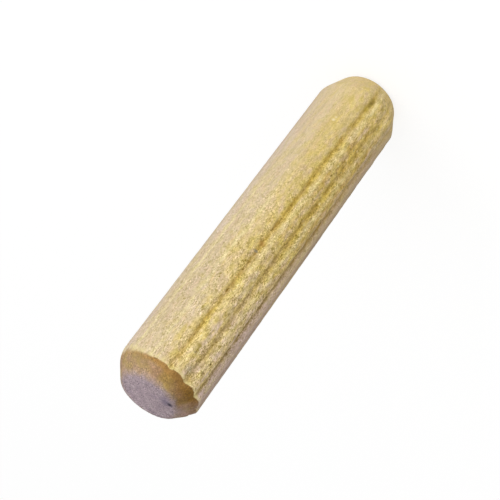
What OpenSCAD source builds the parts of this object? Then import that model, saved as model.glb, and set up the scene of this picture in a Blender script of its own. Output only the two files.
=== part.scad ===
// Fluted dowel pin, standing on its foot end with its axis along Z.

/* [Body] */
// Diameter over the lands, which is the size of hole that the pin is driven into
pin_d = 7.94; // [6:0.02:12]
// Length from the foot to the top
pin_l = 38.1; // [25:0.1:60]

/* [Foot end] */
// Length of the chamfer at the foot, along the pin
foot_chamfer_l = 2.9; // [1:0.1:4]
// How far the chamfer at the foot takes the radius in
foot_chamfer_in = 1.2; // [0.5:0.05:2]
// Radius of the rounded rim between the foot's face and its chamfer
foot_rim_r = 0.8; // [0.1:0.05:1.5]

/* [Top end] */
// Length of the chamfer at the top, along the pin
top_chamfer_l = 1.5; // [1:0.1:4]
// How far the chamfer at the top takes the radius in
top_chamfer_in = 1.3; // [0.5:0.05:2]
// Radius of the rounded rim between the top's face and its chamfer
top_rim_r = 0.25; // [0.1:0.05:1.5]

/* [Flutes] */
// Number of straight flutes round the pin
flute_count = 14; // [8:1:18]
// Width of a flute across its mouth
flute_w = 0.76; // [0.5:0.02:1]
// Depth of a flute below the lands
flute_depth = 0.16; // [0.08:0.01:0.3]
// Radius of a flute's two swelled flanks
flank_r = 0.6; // [0.5:0.05:2]

/* [Hidden] */
$fn = 120;
pin_r = pin_d / 2;
// how far a flute's cutter runs past the pin's surface and its ends
past = 0.5;
// how far a rim's arc laps over its chamfer, so that rounding never leaves a step between them
lap = 0.0005;

// how far a rim's arc reaches along the face, and along the chamfer, from the corner that it rounds
function rim_reach(chamfer_l, chamfer_in, rim_r) = rim_r * tan(45 - atan(chamfer_in / chamfer_l) / 2);

// centre of a rim's arc, as [radius, distance from the end]
function rim_centre(chamfer_l, chamfer_in, rim_r) =
    [pin_r - chamfer_in - rim_reach(chamfer_l, chamfer_in, rim_r) + lap, rim_r];

// where a rim's arc runs into the chamfer, as [radius, distance from the end]
function rim_end(chamfer_l, chamfer_in, rim_r) =
    let (slant = [chamfer_in, chamfer_l])
    [pin_r - chamfer_in, 0] + slant / norm(slant) * rim_reach(chamfer_l, chamfer_in, rim_r);

// a point given from the top end, measured from the foot instead
function from_foot(p) = [p[0], pin_l - p[1]];

foot_rim = rim_centre(foot_chamfer_l, foot_chamfer_in, foot_rim_r);
top_rim = from_foot(rim_centre(top_chamfer_l, top_chamfer_in, top_rim_r));

// a point at a distance from the axis, at an angle from the middle of a flute
function polar(r, angle) = [r * cos(angle), r * sin(angle)];

// centre of the circle that joins a flute's root to the edge of its mouth, on the land's side
function flank_centre() =
    let (
        root = polar(pin_r - flute_depth, 0),
        chord = polar(pin_r, asin(flute_w / 2 / pin_r)) - root,
        across = [-chord[1], chord[0]] / norm(chord),
        reach = sqrt(flank_r^2 - (norm(chord) / 2)^2)
    )
    root + chord / 2 + across * reach;

// half of the blank's outline: its straight lines run through the rims' centres, and the rims' circles fill it out
module blank_outline() {
    polygon([
        [0, 0],
        [foot_rim[0], 0],
        foot_rim,
        rim_end(foot_chamfer_l, foot_chamfer_in, foot_rim_r),
        [pin_r, foot_chamfer_l],
        [pin_r, pin_l - top_chamfer_l],
        from_foot(rim_end(top_chamfer_l, top_chamfer_in, top_rim_r)),
        top_rim,
        [top_rim[0], pin_l],
        [0, pin_l],
    ]);
    translate(foot_rim) circle(foot_rim_r);
    translate(top_rim) circle(top_rim_r);
}

module turned_blank() {
    rotate_extrude() blank_outline();
}

// one flute's section: what lies between the two flanks' circles, from their centres outward
module flute_section() {
    near = flank_centre();
    far = polar(pin_r + past, atan2(near[1], near[0]));
    difference() {
        polygon([near, far, [far[0], -far[1]], [near[0], -near[1]]]);
        for (side = [0, 1])
            mirror([0, side])
                translate(near) circle(flank_r);
    }
}

// the flutes run out through both chamfers, which leaves the chamfers' edges scalloped
module flutes() {
    for (i = [0 : flute_count - 1])
        rotate(-90 + i * 360 / flute_count)
            translate([0, 0, -past])
                linear_extrude(pin_l + 2 * past) flute_section();
}

module dowel_pin() {
    color("burlywood")
        difference() {
            turned_blank();
            flutes();
        }
}

dowel_pin();
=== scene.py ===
import math
from types import SimpleNamespace

import bpy
from mathutils import Euler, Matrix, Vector


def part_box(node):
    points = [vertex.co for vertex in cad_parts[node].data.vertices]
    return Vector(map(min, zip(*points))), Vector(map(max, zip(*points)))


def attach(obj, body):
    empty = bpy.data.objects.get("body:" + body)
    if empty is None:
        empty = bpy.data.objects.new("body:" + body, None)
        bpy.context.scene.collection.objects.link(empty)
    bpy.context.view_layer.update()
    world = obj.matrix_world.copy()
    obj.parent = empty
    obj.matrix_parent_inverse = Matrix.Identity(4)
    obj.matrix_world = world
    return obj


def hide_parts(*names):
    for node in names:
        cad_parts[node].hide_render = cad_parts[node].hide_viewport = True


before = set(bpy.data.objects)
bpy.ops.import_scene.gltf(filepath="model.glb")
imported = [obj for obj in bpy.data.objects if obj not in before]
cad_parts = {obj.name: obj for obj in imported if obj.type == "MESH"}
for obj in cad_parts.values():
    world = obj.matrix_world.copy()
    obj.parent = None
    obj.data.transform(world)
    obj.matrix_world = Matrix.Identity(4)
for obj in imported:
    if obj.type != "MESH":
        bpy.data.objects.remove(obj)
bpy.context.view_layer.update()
mm = 0.001
print("frame loaded")


# adds and joins nodes, in the pin's mesh tree and in its material alike
class Wiring:
    def __init__(self, tree):
        self.tree = tree

    def feed(self, socket, value):  # a socket is linked, a plain value is set
        if isinstance(value, bpy.types.NodeSocket):
            self.tree.links.new(value, socket)
        else:
            socket.default_value = value

    def add(self, kind, inputs=(), **settings):
        node = self.tree.nodes.new(kind)
        for name, value in settings.items():
            setattr(node, name, value)
        for name, value in dict(inputs).items():
            self.feed(node.inputs[name], value)
        return node

    def calc(self, operation, *values):
        node = self.add("ShaderNodeMath", operation=operation)
        for socket, value in zip(node.inputs, values):
            self.feed(socket, value)
        return node.outputs[0]

    def total(self, *values):
        result = values[0]
        for value in values[1:]:
            result = self.calc("ADD", result, value)
        return result

    def product(self, *values):
        result = values[0]
        for value in values[1:]:
            result = self.calc("MULTIPLY", result, value)
        return result

    # where a value lies between two others, from 0 to 1 or between the two results given
    def between(self, value, low, high, outLow=0.0, outHigh=1.0, ease="LINEAR"):
        node = self.add("ShaderNodeMapRange", interpolation_type=ease, clamp=True)
        for socket, number in zip(node.inputs, (value, low, high, outLow, outHigh)):
            self.feed(socket, number)
        return node.outputs[0]

    # the same for a length, whose two ends are given in mm
    def zone(self, length, low, high, outLow=0.0, outHigh=1.0, ease="LINEAR"):
        return self.between(length, low * mm, high * mm, outLow, outHigh, ease)

    def blend(self, share, first, second):
        node = self.add("ShaderNodeMix", data_type="FLOAT", clamp_factor=True)
        for socket, value in zip(node.inputs[:1] + node.inputs[2:4], (share, first, second)):
            self.feed(socket, value)
        return node.outputs[0]

    def vector(self, x, y, z):
        return self.add("ShaderNodeCombineXYZ", {"X": x, "Y": y, "Z": z}).outputs[0]

    # a place measured in grains, whose sizes across and along the pin are given in mm; the offset is
    # the pattern's seed, because it moves each pattern to a place of its own
    def inGrains(self, place, across, along, offset):
        node = self.add("ShaderNodeVectorMath", operation="MULTIPLY_ADD")
        self.feed(node.inputs[0], place)
        node.inputs[1].default_value = [1 / (size * mm) for size in (across, across, along)]
        node.inputs[2].default_value = (offset, offset * 0.37, offset * 0.71)
        return node.outputs[0]

    # smooth noise about zero
    def noise(self, place, across, along, detail=2.0, offset=0.0, rough=0.55):
        texture = self.add("ShaderNodeTexNoise", {
            "Vector": self.inGrains(place, across, along, offset),
            "Scale": 1.0, "Detail": detail, "Roughness": rough,
        })
        return self.calc("SUBTRACT", texture.outputs[0], 0.5)

    # soft spots in some of the cells; rarity is the share left out, and a spot fades between two distances
    def spots(self, place, across, along, rarity, full, edge, offset=0.0):
        cells = self.add("ShaderNodeTexVoronoi", {
            "Vector": self.inGrains(place, across, along, offset), "Scale": 1.0, "Randomness": 0.9,
        })
        draw = self.add("ShaderNodeSeparateXYZ", {"Vector": cells.outputs["Color"]}).outputs[0]
        chosen = self.calc("GREATER_THAN", draw, rarity)
        return self.product(chosen, self.between(cells.outputs["Distance"], edge, full, ease="SMOOTHSTEP"))

    def tint(self, share, first, second):
        node = self.add("ShaderNodeMix", data_type="RGBA", clamp_factor=True)
        for socket, value in zip((node.inputs[0], node.inputs[6], node.inputs[7]), (share, first, second)):
            self.feed(socket, (*value, 1) if isinstance(value, tuple) else value)
        return node.outputs[2]

    def shade(self, colour, level):
        node = self.add("ShaderNodeVectorMath", operation="SCALE")
        self.feed(node.inputs[0], colour)
        self.feed(node.inputs["Scale"], level)
        return node.outputs[0]

    def tinged(self, colour, factors):
        node = self.add("ShaderNodeVectorMath", operation="MULTIPLY")
        self.feed(node.inputs[0], colour)
        self.feed(node.inputs[1], factors)
        return node.outputs[0]

    # lighter or darker by a share; the blue moves more, so that light grains are creamy and dark ones olive
    def lighten(self, colour, share):
        factor = self.add("ShaderNodeVectorMath", operation="ADD")
        self.feed(factor.inputs[0], self.shade((1.0, 1.08, 1.6), share))
        factor.inputs[1].default_value = (1, 1, 1)
        return self.tinged(colour, factor.outputs[0])


# the pin stands on its foot along Z; its flutes are faint on the +X side, which is the smooth one
boxLow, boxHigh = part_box("dowel_pin")
pin = {
    "length": boxHigh.z - boxLow.z,
    "radius": (boxHigh.y - boxLow.y) / 2 - 0.005 * mm,  # a hair inside the turned size
    "flutes": 14,
    "rootDepth": 0.065 * mm,  # narrow cut along the middle of a flute
    "rootWidth": 0.14,  # half of its width, as a share of the way from flute to flute
    "bowlDepth": 0.21 * mm,  # how far the lands round off into the flutes
    "crest": 0.62,  # where a land is highest, as a share of the way from flute to flute
    "slowRise": 1.6,  # powers that round the land's slow side and its quick one
    "quickDrop": 1.35,
    "turnAtTop": math.radians(2.8),  # how far the flutes have turned where they meet the top
    "bend": math.radians(9.0),  # how much less they have turned at the foot, most of it in the lower half
    "unevenness": math.radians(4.0),  # how far the flutes stray from even spacing
    "wander": 0.16,  # how much a flute strays from its line, as a share of the way to the next
    "jitter": 0.26,  # the same over the length of a torn fibre
    "unequal": 0.35,  # how much a flute's depth varies along it
    "faintMiddle": math.radians(75),  # the middle of the side with faint flutes, from -Y towards +X
    "faintStrength": 0.12,
    "footStrength": 0.85,  # how much of their depth the flutes keep towards the foot
    "footStrengthBeyond": 0.55,  # the same for those between -Y and -X
    "weakerFrom": 18 * mm,  # where they begin to lose it, and where it is lost
    "weakerTo": 6 * mm,
    "grooveTint": 0.2,  # half of the width that is coloured along a groove, as a share again
    "hollowTint": 0.26,  # the same for the hollow round it
    # the crest colour is a painted highlight along each land's crest
    "crestHighlight": 0.17,  # the same for a land's crest
    "crestHighlightMiddle": 0.67,  # where that colour lies
    "footChamferLength": 2.9 * mm,
    "footChamferIn": 1.2 * mm,
    "footRimRound": 0.9 * mm,  # where the foot's chamfer meets its face
    "topChamferLength": 1.5 * mm,
    "topChamferIn": 1.3 * mm,
    "topRimRound": 0.3 * mm,
    "topChamferMore": 0.42 * mm,  # how much further down the top's chamfer starts on the smooth side
    "edgeRound": 0.12 * mm,  # where a chamfer meets the side
    "wornEdgeRound": 0.5 * mm,  # the same on the smooth side of the top
    "roughness": 0.10 * mm,  # height of torn fibres
    "segmentsAround": 336,
    "segmentsAlong": 262,
    "ringsOnChamfer": 15,
    "ringsOnEnd": 12,
    # noises: size across and along the pin in mm, detail, offset
    "noises": {
        "wander": (1, 7, 1.0, 0.0),
        "jitter": (1, 0.8, 3.0, 5.0),
        "unequal": (1, 2.2, 3.0, 9.0),
        "breaks": (1, 1.1, 3.0, 19.0),
        "strip": (0.8, 4, 3.0, 61.0),
        "fibres": (0.2, 0.55, 2.0, 0.0),
        "ridges": (0.45, 2.4, 2.0, 3.0),
        "lumps": (0.6, 1.1, 2.0, 5.0),
    },
    # spots: size in mm again, share left out, where a spot is full and where it ends
    "pits": (0.45, 0.8, 0.75, 0.3, 0.42),
}


def fluteRelief(w, size, angle, height):
    # how deep the fluted side lies below the lands, and where its grooves, hollows and crests are
    pitch = w.calc("DIVIDE", 2 * math.pi, size["flutes"])
    fromTop = w.calc("SUBTRACT", 1.0, w.calc("DIVIDE", height, size["length"]))
    turned = w.calc("SUBTRACT", size["turnAtTop"], w.product(size["bend"], fromTop, fromTop))
    fromFront = w.calc("SUBTRACT", w.calc("ADD", angle, math.pi / 2), turned)
    uneven = w.product(size["unevenness"], w.calc("SINE", fromFront))
    steps = w.calc("DIVIDE", w.calc("SUBTRACT", fromFront, uneven), pitch)
    nearest = w.calc("ROUND", steps)
    middle = w.product(nearest, pitch)

    # each flute has noise of its own along its length, read on a ring a little wider than the pin
    ring = 5 * mm
    ownX = w.product(w.calc("COSINE", middle), ring)
    ownY = w.product(w.calc("SINE", middle), ring)
    own = w.vector(ownX, ownY, height)
    strayed = w.calc("ADD", steps, w.total(
        w.product(w.noise(own, *pin["noises"]["wander"]), size["wander"]),
        w.product(w.noise(own, *pin["noises"]["jitter"]), size["jitter"]),
    ))
    across = w.calc("ABSOLUTE", w.calc("SUBTRACT", strayed, nearest))

    # the pin was pressed harder on one side, so the flutes on the other are faint
    fromFaint = w.calc("COSINE", w.calc("SUBTRACT", middle, size["faintMiddle"]))
    faint = w.between(fromFaint, 0.2, 0.7, ease="SMOOTHSTEP")
    beyond = w.calc("LESS_THAN", nearest, -0.5)
    atFoot = w.blend(beyond, size["footStrength"], size["footStrengthBeyond"])
    strength = w.product(
        w.blend(faint, 1.0, size["faintStrength"]),
        w.total(1.0, w.product(w.noise(own, *pin["noises"]["unequal"]), size["unequal"])),
        w.between(height, size["weakerFrom"], size["weakerTo"], 1.0, atFoot),
    )
    breaks = w.between(w.noise(own, *pin["noises"]["breaks"]), -0.18, 0.08, 0.75, 1.1)
    root = w.product(w.calc("POWER", w.between(across, size["rootWidth"], 0.0), 1.2), breaks)

    # a land rises slowly from one flute to its crest and drops steeply to the next
    share = w.calc("FRACT", strayed)
    slow = w.calc("POWER", w.between(share, size["crest"], 0.0), size["slowRise"])
    quick = w.calc("POWER", w.between(share, size["crest"], 1.0), size["quickDrop"])
    bowl = w.calc("SMOOTH_MAX", slow, quick, 0.15)
    depths = w.total(w.product(root, size["rootDepth"]), w.product(bowl, size["bowlDepth"]))

    # the wood reads these to colour the flutes
    groove = w.calc("POWER", w.between(across, size["grooveTint"], 0.0), 1.1)
    fromCrest = w.calc("ABSOLUTE", w.calc("SUBTRACT", share, size["crestHighlightMiddle"]))
    tints = {
        "groove": w.product(groove, breaks, strength),
        "hollow": w.product(w.between(across, size["hollowTint"], 0.04, ease="SMOOTHSTEP"), strength),
        # where the painted highlight along a faint flute goes
        "faintLine": w.product(root, faint),
        # where the painted highlight along a land's crest goes
        "crest": w.product(w.between(fromCrest, size["crestHighlight"], 0.0, ease="SMOOTHSTEP"), strength),
    }
    return w.product(strength, depths), tints


def stripFade(w, place, front):
    # 0 where the -X side's smooth strip is whole, and 1 where it has faded out towards the back
    stray = w.product(w.noise(place, *pin["noises"]["strip"]), 4.5 * mm)
    return w.zone(w.total(front, stray), -1.0, 3.2, ease="SMOOTHSTEP")


def offStrip(w, side, faded, whole, end, least, ease="LINEAR"):
    # 1 away from the smooth strip and the least value on it
    return w.blend(faded, w.zone(side, whole, end, least, 1.0, ease), 1.0)


def footRough(w, side, height):
    # towards the foot the -X half gets rougher and the other half smoother
    return w.blend(w.zone(height, 20, 11), 1.0, w.zone(side, 0.4, -0.7, 0.7, 1.45))


def fibreRelief(w, size, place, pastEdge):
    # torn fibres, pores and pits, as a depth below the smooth shape; coarser towards the top and away from +X
    side, front, height = w.add("ShaderNodeSeparateXYZ", {"Vector": place}).outputs
    fromAxis = w.calc("SQRT", w.total(w.product(side, side), w.product(front, front)))
    coarse = w.product(
        w.zone(side, 2.9, 0.8, 0.45, 1.0, "SMOOTHSTEP"),
        offStrip(w, side, stripFade(w, place, front), -3.5, -3.0, 0.3, "SMOOTHSTEP"),
        w.zone(height, 4, 26, 0.55, 1.0),
        w.zone(pastEdge, 0.1, 0.3, 1.0, 0.5),
        w.zone(fromAxis, 0.3, 1.8),
        footRough(w, side, height),
    )
    fibres = w.total(0.5, w.product(w.noise(place, *pin["noises"]["fibres"]), 1.5))
    ridges = w.total(0.5, w.product(w.noise(place, *pin["noises"]["ridges"]), 1.4))
    lumps = w.product(
        w.total(0.5, w.product(w.noise(place, *pin["noises"]["lumps"]), 1.6)),
        w.zone(side, 0.6, -0.4, 0.3, 1.0),
        w.zone(height, 16, 9, 1.0, 3.0),
    )
    pits = w.spots(place, *pin["pits"])
    depth = w.total(w.product(fibres, 0.6), w.product(ridges, 0.4), w.product(lumps, 0.4), pits)
    return w.product(size["roughness"], coarse, depth)


def roundedCorner(w, distance, reach, outward, upward):
    # how a corner of the outline moves when it is rounded, at a distance along the outline from it
    inside = w.calc("MAXIMUM", w.calc("SUBTRACT", reach, distance), 0.0)
    bend = w.calc("DIVIDE", w.product(inside, inside), w.product(4.0, reach))
    return w.product(bend, outward), w.product(bend, upward)


def pinOutline(w, size, onBlank):
    # where each point of the unit blank goes, and what is stored there for the wood
    x, y, z = w.add("ShaderNodeSeparateXYZ", {"Vector": onBlank}).outputs
    angle = w.calc("ARCTAN2", y, x)
    inward = w.calc("MINIMUM", w.calc("SQRT", w.total(w.product(x, x), w.product(y, y))), 1.0)
    along = w.calc("ADD", z, 0.5)

    # rings shared out between the foot's chamfer, the side and the top's chamfer
    share = w.calc("DIVIDE", size["ringsOnChamfer"], size["segmentsAlong"])
    shareEnd = w.calc("SUBTRACT", 1.0, share)
    onSide = w.between(along, share, shareEnd)
    onFoot = w.calc("POWER", w.between(along, share, 0.0), 1.5)
    onTop = w.calc("POWER", w.between(along, shareEnd, 1.0), 1.5)

    worn = w.between(x, 0.6, 1.0, ease="SMOOTHSTEP")
    topEnd = w.total(size["topChamferLength"], w.product(worn, size["topChamferMore"]))
    sideEnd = w.calc("SUBTRACT", size["length"], topEnd)
    height = w.blend(onSide, size["footChamferLength"], sideEnd)
    fluteDepth, stored = fluteRelief(w, size, angle, height)

    # a deeper place lets the chamfer's edge run nearer to the end, which scallops it
    topSlope = w.calc("DIVIDE", size["topChamferLength"], size["topChamferIn"])
    footSlope = w.calc("DIVIDE", size["footChamferLength"], size["footChamferIn"])
    lessScalloped = w.between(x, -0.75, -0.45, 0.3, 1.0)
    nearTop = w.product(topSlope, w.between(onSide, 0.96, 1.0, 0.0, 0.4), lessScalloped)
    nearFoot = w.product(footSlope, w.between(onSide, 0.04, 0.0, 0.0, 0.6))
    sideRadius = w.calc("SUBTRACT", size["radius"], fluteDepth)
    sideHeight = w.calc("ADD", height, w.product(fluteDepth, w.calc("SUBTRACT", nearTop, nearFoot)))

    topFace = w.calc("SUBTRACT", size["radius"], size["topChamferIn"])
    footFace = w.calc("SUBTRACT", size["radius"], size["footChamferIn"])
    radius = w.blend(onFoot, w.blend(onTop, sideRadius, topFace), footFace)
    level = w.blend(onFoot, w.blend(onTop, sideHeight, size["length"]), 0.0)
    radius = w.product(radius, inward)

    # distances along the outline, used to round its corners and to tell its zones apart
    isTop = w.calc("GREATER_THAN", along, 0.5)
    chamferLength = w.blend(isTop, size["footChamferLength"], size["topChamferLength"])
    chamferIn = w.blend(isTop, size["footChamferIn"], size["topChamferIn"])
    slant = w.calc("SQRT", w.total(w.product(chamferLength, chamferLength), w.product(chamferIn, chamferIn)))
    sideLength = w.calc("SUBTRACT", sideEnd, size["footChamferLength"])
    face = w.blend(isTop, footFace, topFace)
    climb = w.calc("MAXIMUM", onFoot, onTop)
    toEdge = w.product(w.calc("MINIMUM", onSide, w.calc("SUBTRACT", 1.0, onSide)), sideLength)
    inFace = w.product(w.calc("SUBTRACT", 1.0, inward), face)
    pastEdge = w.total(w.product(climb, slant), inFace, w.product(toEdge, -1.0))
    pastRim = w.calc("SUBTRACT", pastEdge, slant)

    steep = w.calc("DIVIDE", chamferLength, slant)
    taper = w.calc("DIVIDE", chamferIn, slant)
    upward = w.calc("SUBTRACT", w.product(isTop, 2.0), 1.0)
    edgeRound = w.blend(w.product(isTop, worn), size["edgeRound"], size["wornEdgeRound"])
    edgeOut, edgeUp = roundedCorner(
        w, w.calc("ABSOLUTE", pastEdge), edgeRound, w.product(taper, -1.0), w.calc("SUBTRACT", steep, 1.0))
    rimRound = w.blend(isTop, size["footRimRound"], size["topRimRound"])
    rimOut, rimUp = roundedCorner(
        w, w.calc("ABSOLUTE", pastRim), rimRound, w.calc("SUBTRACT", taper, 1.0), w.product(steep, -1.0))
    radius = w.calc("MAXIMUM", w.total(radius, edgeOut, rimOut), 0.0)
    radius = w.blend(w.calc("LESS_THAN", inward, 1e-6), radius, 0.0)
    level = w.total(level, w.product(upward, w.total(edgeUp, rimUp)))

    stored["pastEdge"] = pastEdge
    stored["pastRim"] = pastRim
    turnedX = w.product(w.calc("COSINE", angle), radius)
    turnedY = w.product(w.calc("SINE", angle), radius)
    return w.vector(turnedX, turnedY, level), stored


def buildPinTree():
    tree = bpy.data.node_groups.new("pinTree", "GeometryNodeTree")
    tree.interface.new_socket("Geometry", in_out="OUTPUT", socket_type="NodeSocketGeometry")
    for name, value in pin.items():
        if isinstance(value, (int, float)):
            kind = "NodeSocketInt" if isinstance(value, int) else "NodeSocketFloat"
            tree.interface.new_socket(name, in_out="INPUT", socket_type=kind)
    tree.interface.new_socket("material", in_out="INPUT", socket_type="NodeSocketMaterial")
    w = Wiring(tree)
    size = w.add("NodeGroupInput").outputs

    # a blank of unit size, whose points are then moved to the pin's outline
    blank = w.add("GeometryNodeMeshCylinder", {
        "Vertices": size["segmentsAround"], "Side Segments": size["segmentsAlong"],
        "Fill Segments": size["ringsOnEnd"], "Radius": 1.0, "Depth": 1.0,
    }, fill_type="TRIANGLE_FAN")
    onBlank = w.add("GeometryNodeInputPosition").outputs[0]
    outline, stored = pinOutline(w, size, onBlank)

    # the values are stored before the blank is moved, because they are worked out from its own positions
    result = blank.outputs["Mesh"]
    for name, value in stored.items():
        result = w.add("GeometryNodeStoreNamedAttribute", {
            "Geometry": result, "Name": name, "Value": value,
        }, data_type="FLOAT", domain="POINT").outputs[0]
    result = w.add("GeometryNodeSetPosition", {"Geometry": result, "Position": outline}).outputs[0]

    # the torn fibres go inwards from the smooth shape, along its own normals
    onPin = w.add("GeometryNodeInputPosition").outputs[0]
    edge = w.add("GeometryNodeInputNamedAttribute", {"Name": "pastEdge"}, data_type="FLOAT").outputs[0]
    normal = w.add("GeometryNodeInputNormal").outputs[0]
    torn = w.shade(normal, w.product(-1.0, fibreRelief(w, size, onPin, edge)))
    result = w.add("GeometryNodeSetPosition", {"Geometry": result, "Offset": torn}).outputs[0]

    result = w.add("GeometryNodeSetShadeSmooth", {"Geometry": result}).outputs[0]
    result = w.add("GeometryNodeRealizeInstances", {"Geometry": result}).outputs[0]
    result = w.add("GeometryNodeSetMaterial", {"Geometry": result, "Material": size["material"]}).outputs[0]
    w.feed(w.add("NodeGroupOutput").inputs[0], result)
    return tree


def buildPin(material):
    holder = bpy.data.objects.new("pinHolder", bpy.data.meshes.new("pinHolder"))
    bpy.context.scene.collection.objects.link(holder)
    modifier = holder.modifiers.new("pinShape", "NODES")
    modifier.node_group = buildPinTree()
    for item in modifier.node_group.interface.items_tree:
        if item.in_out == "INPUT":
            modifier[item.identifier] = material if item.name == "material" else pin[item.name]
    graph = bpy.context.evaluated_depsgraph_get()
    shaped = holder.evaluated_get(graph)
    mesh = bpy.data.meshes.new_from_object(shaped, preserve_all_data_layers=True, depsgraph=graph)
    bpy.data.objects.remove(holder)
    piece = bpy.data.objects.new("fluted_pin", mesh)
    bpy.context.scene.collection.objects.link(piece)
    return piece


wood = {
    # the side
    "yellow": (0.72, 0.55, 0.22),
    "pinkBeige": (0.68, 0.54, 0.34),
    "blush": (0.70, 0.57, 0.46),
    "ochre": (0.62, 0.42, 0.115),
    "brownPink": (0.57, 0.42, 0.26),
    "dusty": (0.68, 0.51, 0.31),
    "lemon": (0.70, 0.53, 0.12),
    "rosy": (0.74, 0.52, 0.34),
    "green": (0.61, 0.51, 0.15),
    "hollow": (0.68, 0.50, 0.08),
    # painted highlight, on the lands' crests and in the pale lip below the top's chamfer
    "crest": (0.92, 0.77, 0.36),
    "spark": (0.94, 0.82, 0.43),
    "pit": (0.20, 0.115, 0.015),
    "olive": (0.38, 0.235, 0.03),
    "cut": (0.36, 0.205, 0.018),
    "dullCut": (0.35, 0.235, 0.075),
    # painted shade along both sides of the outline
    "paintedEdgeShade": (0.38, 0.27, 0.21),
    # the top's chamfer
    "chamfer": (0.452, 0.270, 0.100),
    # painted shade and painted light: the chamfer darker on the -X side and paler on the +X side
    "chamferPaintedShade": (0.30, 0.165, 0.055),
    "chamferPaintedLight": (0.474, 0.314, 0.156),
    "mauve": (0.46, 0.32, 0.25),
    "burnt": (0.50, 0.275, 0.08),
    # the burnt edge with painted shade, for its -X side
    "burntInPaintedShade": (0.24, 0.12, 0.015),
    # the ends
    "endGrain": (0.53, 0.41, 0.45),
    # painted shade on the top's face, towards -X
    "endPaintedShade": (0.42, 0.325, 0.35),
    "paleEnd": (0.68, 0.58, 0.60),
    "blueEnd": (0.36, 0.29, 0.36),
    "footEnd": (0.76, 0.60, 0.30),
    "footFace": (0.64, 0.51, 0.34),
    # factors that shift a colour's hue
    "beiger": (1.0, 1.01, 1.32),
    "greyer": (1.06, 1.17, 1.5),
    "yellower": (0.98, 1.04, 0.68),
    "pinker": (1.06, 0.98, 1.35),
    # how bright the side is, and how strongly each thing shows in it
    "brightness": 1.06,
    "streaks": 0.35,
    "blotches": 0.25,
    "sparks": 0.55,
    "pits": 0.6,
    "pores": 0.8,
    "fibresAtFoot": 0.62,
    "fibresAtTop": 1.6,
    # noises: size across and along the pin in mm, detail, offset, roughness
    "grains": {
        "sway": (2.5, 9, 2.0, 2.0, 0.55),
        "blotch": (0.9, 2.2, 3.0, 7.0, 0.55),
        "streak": (0.35, 6, 3.0, 4.0, 0.55),
        "torn": (0.3, 0.6, 3.0, 1.0, 0.8),
        "clump": (0.5, 0.9, 2.0, 43.0, 0.55),
        "fibre": (0.09, 0.24, 1.0, 41.0, 0.55),
        "fibreEnd": (0.11, 0.12, 0.0, 45.0, 0.55),
        "patch": (0.5, 1.2, 1.0, 13.0, 0.55),
        "blush": (0.4, 0.9, 1.0, 15.0, 0.55),
        "broken": (0.35, 1.1, 3.0, 17.0, 0.55),
        "dash": (0.25, 0.6, 2.0, 53.0, 0.55),
        "knob": (0.55, 0.75, 2.0, 51.0, 0.55),
        "ragged": (0.7, 0.7, 4.0, 8.0, 0.55),
        "hue": (1.1, 1.1, 1.0, 55.0, 0.55),
        "mottle": (0.8, 0.8, 5.0, 6.0, 0.7),
        "pore": (0.3, 0.3, 4.0, 26.0, 0.9),
        "bump": (0.09, 0.2, 3.0, 11.0, 0.55),
    },
    # spots: size in mm again, share left out, where a spot is full and where it ends, offset
    "sparkSpots": (0.3, 0.6, 0.72, 0.1, 0.4, 21.0),
    "pitSpots": (0.36, 0.7, 0.85, 0.1, 0.36, 31.0),
    "bumpHeight": 0.03 * mm,
    "gloss": 0.25,
    "dullness": 0.72,
    # marks: place and reach in mm, colour, strength
    "marks": (
        ((-1.3, -1.2, 38.1), 0.95, (0.19, 0.15, 0.24), 0.65),
        ((-1.7, -1.24, 38.1), 0.42, (0.02, 0.014, 0.03), 1.0),
        ((-1.32, -3.65, 35.6), 0.7, (0.35, 0.31, 0.17), 0.5),
        ((-0.68, -3.8, 33.5), 0.4, (0.42, 0.31, 0.05), 0.9),
        ((-2.26, -3.15, 35.0), 0.26, (0.30, 0.20, 0.07), 0.9),
        ((-1.26, -3.65, 36.05), 0.24, (0.36, 0.26, 0.10), 0.8),
        ((-0.79, -3.8, 34.2), 0.26, (0.30, 0.20, 0.07), 0.9),
        ((1.52, -3.6, 7.33), 0.26, (0.97, 0.82, 0.50), 1.0),
        ((1.46, -3.62, 6.95), 0.2, (0.94, 0.78, 0.46), 0.8),
        ((0.14, -3.74, 22.3), 0.5, (0.50, 0.27, 0.06), 0.8),
        ((0.15, -3.76, 23.2), 0.26, (0.14, 0.20, 0.27), 1.0),
        ((-0.3, -3.8, 4.2), 0.7, (0.50, 0.37, 0.04), 0.6),
        ((-0.38, -3.78, 3.0), 0.36, (0.24, 0.16, 0.01), 0.9),
        ((-0.38, -3.78, 3.35), 0.4, (0.20, 0.13, 0.01), 1.0),
        ((-0.37, -3.78, 3.75), 0.38, (0.24, 0.16, 0.01), 0.9),
    ),
}


def grain(w, place, name):
    return w.noise(place, *wood["grains"][name])


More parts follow.
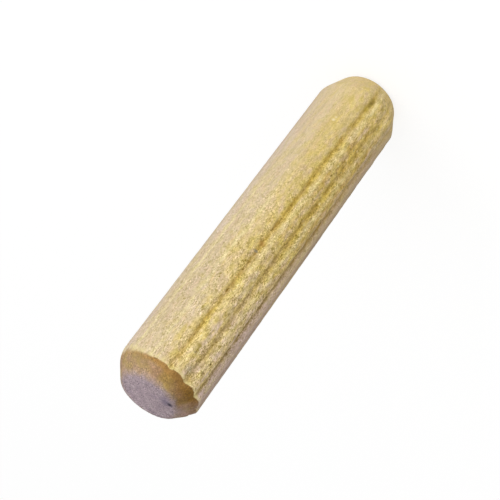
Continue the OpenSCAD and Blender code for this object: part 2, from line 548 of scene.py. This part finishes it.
def readPlaces(w):
    # where a place lies on the pin, and the grains that both the side and the ends have
    at = SimpleNamespace()
    at.place = w.add("ShaderNodeTexCoord").outputs["Object"]
    at.x, at.y, at.z = w.add("ShaderNodeSeparateXYZ", {"Vector": at.place}).outputs
    for name in ("groove", "hollow", "faintLine", "crest", "pastEdge", "pastRim"):
        setattr(at, name, w.add("ShaderNodeAttribute", attribute_name=name).outputs["Fac"])
    at.isTop = w.calc("GREATER_THAN", at.z, pin["length"] / 2)
    at.stripFaded = stripFade(w, at.place, at.y)
    fromAxis = w.calc("SQRT", w.total(w.product(at.x, at.x), w.product(at.y, at.y)))
    at.turn = w.calc("DIVIDE", at.x, fromAxis)  # 1 at +X, -1 at -X
    at.ragged = w.product(grain(w, at.place, "ragged"), 1.1 * mm)
    at.onFace = w.zone(w.total(at.pastRim, at.ragged), -0.55, 0.5, ease="SMOOTHSTEP")

    at.blotch = grain(w, at.place, "blotch")
    at.streak = grain(w, at.place, "streak")
    at.torn = grain(w, at.place, "torn")
    at.pores = grain(w, at.place, "pore")
    # the finest grains are short fibres in clumps
    clumps = w.between(grain(w, at.place, "clump"), -0.14, 0.14, 0.45, 1.45)
    at.fibres = w.product(
        w.total(grain(w, at.place, "fibre"), w.product(grain(w, at.place, "fibreEnd"), 0.6)), clumps)
    at.roughHere = footRough(w, at.x, at.z)
    at.coarse = w.product(
        w.zone(at.x, 1.9, 0.0, 0.5, 1.0, "SMOOTHSTEP"),
        offStrip(w, at.x, at.stripFaded, -3.5, -3.0, 0.3, "SMOOTHSTEP"),
        w.zone(at.z, 3, 26, 0.6, 1.0),
        at.roughHere,
    )
    return at


def bandColour(w, at):
    # broad bands along the pin, from yellow and ochre at the flutes to pinkish beige at the smooth sides
    across = w.total(at.x, w.product(grain(w, at.place, "sway"), 2.4 * mm))
    pink = w.total(across, w.zone(at.z, 25, 31, 0.0, 1.2 * mm))
    colour = w.tint(w.zone(pink, 0.9, 2.6, ease="SMOOTHSTEP"), wood["yellow"], wood["pinkBeige"])
    colour = w.tint(w.zone(across, 3.2, 3.9, 0.0, 0.9, "SMOOTHSTEP"), colour, wood["blush"])
    ochre = w.product(
        w.zone(across, -0.4, -1.3, ease="SMOOTHSTEP"),
        w.between(at.blotch, -0.12, 0.14, 0.15, 0.9),
        w.zone(at.z, 10, 30, 1.3, 0.35),
    )
    ochreBeside = w.product(w.zone(at.x, -2.1, -2.6), w.zone(at.z, 22, 15, 0.0, 0.5))
    colour = w.tint(w.total(ochre, ochreBeside), colour, wood["ochre"])
    strip = w.product(w.zone(at.x, -2.7, -3.05, ease="SMOOTHSTEP"), w.blend(at.stripFaded, 1.0, 0.0))
    colour = w.tint(strip, colour, wood["brownPink"])
    # more like the foot's own colour as it gets near
    return w.tint(w.zone(at.z, 9, 1, 0.0, 0.6, "SMOOTHSTEP"), colour, wood["footEnd"])


def patchColour(w, at, colour):
    # small patches of other hues, fainter on the smooth sides, then the flutes' yellow hollows
    patch = grain(w, at.place, "patch")
    lively = w.product(w.zone(at.x, 2.8, 0.3, 0.25, 1.0), offStrip(w, at.x, at.stripFaded, -3.1, -2.7, 0.3))
    colour = w.tint(w.product(w.between(patch, 0.0, 0.2, 0.0, 0.6), lively), colour, wood["dusty"])
    colour = w.tint(w.product(w.between(patch, 0.0, -0.2, 0.0, 0.65), lively), colour, wood["lemon"])
    blush = grain(w, at.place, "blush")
    offHollow = w.between(at.hollow, 0.6, 0.0)
    colour = w.tint(w.product(w.between(blush, 0.0, 0.2, 0.0, 0.32), offHollow), colour, wood["rosy"])
    colour = w.tint(w.between(blush, 0.0, -0.2, 0.0, 0.3), colour, wood["green"])
    beigeTop = w.product(w.zone(at.z, 21, 27), w.zone(at.x, -0.6, -1.1))
    colour = w.tint(beigeTop, colour, w.tinged(colour, wood["beiger"]))
    hollow = w.product(
        w.calc("MINIMUM", at.hollow, 1.0),
        offStrip(w, at.x, at.stripFaded, -3.0, -2.4, 0.2),
        w.zone(at.z, 16, 28, 1.0, 0.25),
        w.between(at.blotch, -0.15, 0.12, 0.15, 0.75),
    )
    return w.tint(hollow, colour, wood["hollow"])


def grooveColour(w, at, colour, broken):
    # an olive shade along each groove, with a narrow brown line in it that comes and goes
    cut = w.calc("MINIMUM", at.groove, 1.0)
    colour = w.tint(w.product(cut, w.between(broken, -0.14, 0.1, 0.14, 0.24)), colour, wood["olive"])
    line = w.product(
        w.calc("POWER", cut, 2.4),
        w.between(grain(w, at.place, "dash"), -0.1, 0.12, 0.54, 0.84),
        w.zone(at.x, -2.4, -2.8, 1.0, 1.4),
    )
    duller = w.product(w.zone(at.x, -0.8, -1.4), w.zone(at.z, 15, 24))
    return w.tint(line, colour, w.tint(duller, wood["cut"], wood["dullCut"]))


def sideWood(w, at):
    colour = patchColour(w, at, bandColour(w, at))
    # lighter towards the top, between the smooth sides
    lighter = w.product(w.zone(at.z, 18, 33, 0.0, 0.09), w.zone(at.x, 2.2, 0.8), w.zone(at.x, -2.9, -2.4))
    streaks = w.product(at.streak, wood["streaks"])
    blotches = w.product(at.blotch, wood["blotches"])
    colour = w.shade(colour, w.total(wood["brightness"], lighter, streaks, blotches))
    # a painted highlight along each land's crest
    crest = w.product(
        at.crest, offStrip(w, at.x, at.stripFaded, -2.8, -2.4, 0.3), w.zone(at.z, 20, 26, 0.55, 0.3))
    colour = w.tint(crest, colour, wood["crest"])

    # light torn fibres, dark pits, and pale lines of painted highlight that stand for flutes on the smooth
    # side
    sparks = w.spots(at.place, *wood["sparkSpots"])
    colour = w.tint(w.product(sparks, at.coarse, wood["sparks"]), colour, wood["spark"])
    pits = w.spots(at.place, *wood["pitSpots"])
    colour = w.tint(w.product(pits, at.coarse, at.coarse, wood["pits"]), colour, wood["pit"])
    faintLine = w.product(
        w.calc("MINIMUM", at.faintLine, 1.0), w.zone(at.z, 10, 19), w.between(at.blotch, -0.2, 0.1, 0.2, 0.7))
    colour = w.tint(faintLine, colour, wood["spark"])
    broken = grain(w, at.place, "broken")
    colour = grooveColour(w, at, colour, broken)

    # light and dark grains: fine fibres, torn ones and, low on the -X half, painted light and shade of small
    # lumps
    speckle = w.product(
        at.fibres,
        w.zone(at.z, 3, 28, wood["fibresAtFoot"], wood["fibresAtTop"]),
        w.zone(at.x, 2.9, 0.9, 0.62, 1.0, "SMOOTHSTEP"),
        offStrip(w, at.x, at.stripFaded, -3.3, -2.8, 0.6),
        w.calc("MINIMUM", at.roughHere, 1.05),
        w.blend(w.zone(at.x, -1.4, -0.9), 1.0, w.zone(at.z, 22, 31, 1.0, 0.76)),
    )
    torn = w.product(w.between(at.torn, -0.16, 0.16, -0.24, 0.26), at.coarse)
    knobLightAndShadeZone = w.product(w.zone(at.x, 0.1, -0.5), w.zone(at.x, -3.0, -2.6), w.zone(at.z, 19, 11))
    knobLightAndShade = w.product(w.between(grain(w, at.place, "knob"), -0.16, 0.16, -0.15, 0.15), knobLightAndShadeZone)
    colour = w.lighten(colour, w.total(speckle, torn, knobLightAndShade))

    # a pale lip of painted highlight below the top's chamfer, and a darker streak of painted shade down each
    # side
    lip = w.product(w.zone(at.pastEdge, -0.4, -0.1), w.between(broken, -0.1, 0.1, 0.1, 0.7), at.isTop)
    colour = w.tint(lip, colour, wood["crest"])
    wavy = w.total(at.x, w.product(at.streak, 0.5 * mm))
    paintedEdgeShade = w.calc(
        "MAXIMUM",
        w.product(w.zone(wavy, -3.4, -3.85, 0.0, 0.5), w.blend(at.stripFaded, 1.0, 0.0)),
        w.zone(wavy, 3.78, 3.95, 0.0, 0.3),
    )
    return w.tint(paintedEdgeShade, colour, wood["paintedEdgeShade"])


def chamferWood(w, at):
    # burnt along its edge, greyer towards its rim, with painted light on the +X side and painted shade on the
    # -X side
    slant = math.hypot(pin["topChamferLength"], pin["topChamferIn"])
    down = w.total(at.pastEdge, w.product(at.ragged, 0.5))
    turned = w.total(at.turn, w.product(at.blotch, 0.5))
    colour = w.tint(w.between(turned, 0.0, 0.6, ease="SMOOTHSTEP"), wood["chamfer"], wood["chamferPaintedLight"])
    colour = w.tint(w.between(turned, -0.15, -0.6, ease="SMOOTHSTEP"), colour, wood["chamferPaintedShade"])
    rimward = w.product(w.between(down, 0.5 * slant, 0.95 * slant), w.between(turned, 0.9, 0.2, 0.4, 1.0))
    colour = w.tint(rimward, colour, w.tinged(colour, wood["greyer"]))
    colour = w.tint(w.between(at.turn, -0.75, -0.97, 0.0, 0.7), colour, wood["mauve"])
    hue = grain(w, at.place, "hue")
    colour = w.tint(w.between(hue, 0.0, 0.16, 0.0, 0.7), colour, w.tinged(colour, wood["yellower"]))
    colour = w.tint(w.between(hue, 0.0, -0.16, 0.0, 0.55), colour, w.tinged(colour, wood["pinker"]))

    # the burnt edge gets darker towards -X, which is painted shade
    burnt = w.tint(w.between(turned, -0.75, 0.3), wood["burntInPaintedShade"], wood["burnt"])
    burntEnd = w.between(turned, -0.5, 0.4, 0.55 * slant, 0.3 * slant)
    nearEdge = w.product(w.calc("SUBTRACT", 1.0, w.calc("DIVIDE", down, burntEnd)), 2.2)
    burntHere = w.product(
        w.between(nearEdge, 0.0, 1.0),
        w.between(turned, 0.8, 0.4, 0.3, 0.9),
        w.between(at.turn, -0.8, -0.95, 1.0, 0.4),
    )
    return w.tint(burntHere, colour, burnt)


def topWood(w, at):
    # the chamfer and the sawn face inside it, both mottled pale and dark, with pores and fibres
    chamfer = chamferWood(w, at)
    # painted shade: the sawn face darker towards -X
    face = w.tint(w.zone(at.x, 0.4, -2.6, 0.0, 0.85), wood["endGrain"], wood["endPaintedShade"])
    colour = w.tint(at.onFace, chamfer, face)
    mottle = grain(w, at.place, "mottle")
    pale = w.tint(at.onFace, w.lighten(chamfer, 0.3), wood["paleEnd"])
    dark = w.tint(at.onFace, w.lighten(chamfer, -0.34), wood["blueEnd"])
    colour = w.tint(w.between(mottle, 0.0, 0.2, 0.0, 0.55), colour, pale)
    colour = w.tint(w.between(mottle, 0.0, -0.2, 0.0, 0.6), colour, dark)
    fibres = w.product(at.fibres, w.blend(at.onFace, 1.0, 1.6))
    return w.shade(colour, w.total(1.0, w.product(at.pores, wood["pores"]), fibres))


def footWood(w, at):
    colour = w.tint(at.onFace, wood["footEnd"], wood["footFace"])
    pores = w.product(at.pores, w.blend(at.onFace, 0.7, 1.1))
    fibres = w.product(at.fibres, w.blend(at.onFace, 0.3, 1.2))
    return w.shade(colour, w.total(1.0, pores, fibres))


def bareWood():
    material = bpy.data.materials.new("bareWood")
    material.use_nodes = True
    w = Wiring(material.node_tree)
    at = readPlaces(w)

    # the top's colour starts at its ragged edge, and the foot's comes in slowly down its chamfer
    edgeWidth = w.between(at.turn, 0.3, 0.9, 0.13 * mm, 0.45 * mm)
    pastRagged = w.total(at.pastEdge, w.product(at.ragged, 0.4))
    onEnd = w.product(
        w.between(pastRagged, 0.0, edgeWidth, ease="SMOOTHSTEP"),
        w.blend(at.isTop, w.zone(at.pastEdge, 0.3, 3.5, 0.0, 0.8), 1.0),
    )
    colour = w.tint(onEnd, sideWood(w, at), w.tint(at.isTop, footWood(w, at), topWood(w, at)))
    for spot, reach, tone, strength in wood["marks"]:
        centre = [value * mm for value in spot]
        away = w.add("ShaderNodeVectorMath", {0: at.place, 1: centre}, operation="DISTANCE").outputs["Value"]
        colour = w.tint(w.product(strength, w.zone(away, reach, 0.0, ease="SMOOTHSTEP")), colour, tone)

    shader = w.tree.nodes["Principled BSDF"]
    w.feed(shader.inputs["Base Color"], colour)
    w.feed(shader.inputs["Roughness"], w.total(wood["dullness"], w.product(at.torn, 0.3)))
    shader.inputs["Specular IOR Level"].default_value = wood["gloss"]
    bumps = w.product(grain(w, at.place, "bump"), at.coarse, wood["bumpHeight"])
    bump = w.add("ShaderNodeBump", {"Height": bumps, "Distance": 1.0, "Strength": 1.0})
    w.feed(shader.inputs["Normal"], bump.outputs[0])
    return material


pinWood = bareWood()
print("wood made")

dowel = buildPin(pinWood)
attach(dowel, "root")
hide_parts("dowel_pin")
print("pin made:", len(dowel.data.polygons), "faces")


studio = {
    "floorSize": 3.0,
    "floorGlow": 0.78,  # what a camera sees of the floor before any light falls on it
    "floorTone": 0.36,  # how much of its light and shadow a camera sees
    "floorColour": 0.8,  # what the pin sees of it
    "ambient": 0.5,  # how bright the pin's surroundings are, where a camera sees white
    # lamps: place, width, height, watts
    "lamps": {
        "key": ((0.34, -0.24, 0.13), 0.50, 0.20, 0.75),
        "fill": ((0.02, -0.42, 0.16), 0.40, 0.26, 0.35),
    },
}


def grey(level):
    return level, level, level, 1


def cameraSees(w):
    rays = w.add("ShaderNodeLightPath").outputs
    direct = w.calc("MAXIMUM", rays["Is Camera Ray"], rays["Is Glossy Ray"])
    return w.calc("MAXIMUM", direct, rays["Is Transmission Ray"])


def paleFloor():
    material = bpy.data.materials.new("paleFloor")
    material.use_nodes = True
    w = Wiring(material.node_tree)
    w.tree.nodes.clear()
    glow = w.add("ShaderNodeEmission", {"Strength": studio["floorGlow"]}).outputs[0]
    shaded = w.add("ShaderNodeBsdfDiffuse", {"Color": grey(studio["floorTone"])}).outputs[0]
    seen = w.add("ShaderNodeAddShader", {0: glow, 1: shaded}).outputs[0]
    plain = w.add("ShaderNodeBsdfDiffuse", {"Color": grey(studio["floorColour"])}).outputs[0]
    either = w.add("ShaderNodeMixShader", {0: cameraSees(w), 1: plain, 2: seen}).outputs[0]
    w.add("ShaderNodeOutputMaterial", {"Surface": either})
    return material


def buildFloor():
    half = studio["floorSize"] / 2
    corners = [(-half, -half, 0), (half, -half, 0), (half, half, 0), (-half, half, 0)]
    mesh = bpy.data.meshes.new("floor")
    mesh.from_pydata(corners, [], [(0, 1, 2, 3)])
    mesh.materials.append(paleFloor())
    floor = bpy.data.objects.new("floor", mesh)
    bpy.context.scene.collection.objects.link(floor)


def buildLight():
    world = bpy.data.worlds.new("studio")
    bpy.context.scene.world = world
    world.use_nodes = True
    w = Wiring(world.node_tree)
    w.tree.nodes.clear()
    background = w.add("ShaderNodeBackground", {
        "Color": grey(1), "Strength": w.blend(cameraSees(w), studio["ambient"], 1.0),
    })
    w.add("ShaderNodeOutputWorld", {"Surface": background.outputs[0]})
    middle = Vector((0, 0, pin["length"] / 2))
    for name, (place, width, height, watts) in studio["lamps"].items():
        lamp = bpy.data.lights.new(name, "AREA")
        lamp.shape = "RECTANGLE"
        lamp.size = width
        lamp.size_y = height
        lamp.energy = watts
        holder = bpy.data.objects.new(name, lamp)
        holder.location = place
        holder.rotation_euler = (middle - Vector(place)).to_track_quat("-Z", "Y").to_euler()
        bpy.context.scene.collection.objects.link(holder)


shot = {
    "aim": Vector((0.41, 0.97, 20.6)) * mm,
    "azimuth": 2.2,
    "elevation": 31.8,
    "roll": -143.5,
    "distance": 134.4 * mm,
    "lens": 111.6,
    "nearest": 5 * mm,  # anything closer isn't drawn
}


def buildCamera():
    camera = bpy.data.objects.new("camera", bpy.data.cameras.new("camera"))
    camera.data.lens = shot["lens"]
    camera.data.clip_start = shot["nearest"]
    turn = Euler([math.radians(a) for a in (90 - shot["elevation"], 0, shot["azimuth"])])
    facing = turn.to_matrix()
    camera.location = shot["aim"] + facing @ Vector((0, 0, shot["distance"]))
    roll = Euler((0, 0, math.radians(shot["roll"]))).to_matrix()
    camera.rotation_euler = (facing @ roll).to_euler()
    bpy.context.scene.collection.objects.link(camera)
    bpy.context.scene.camera = camera


buildFloor()
buildLight()
buildCamera()
bpy.context.scene.view_settings.view_transform = "Standard"
print("studio made")
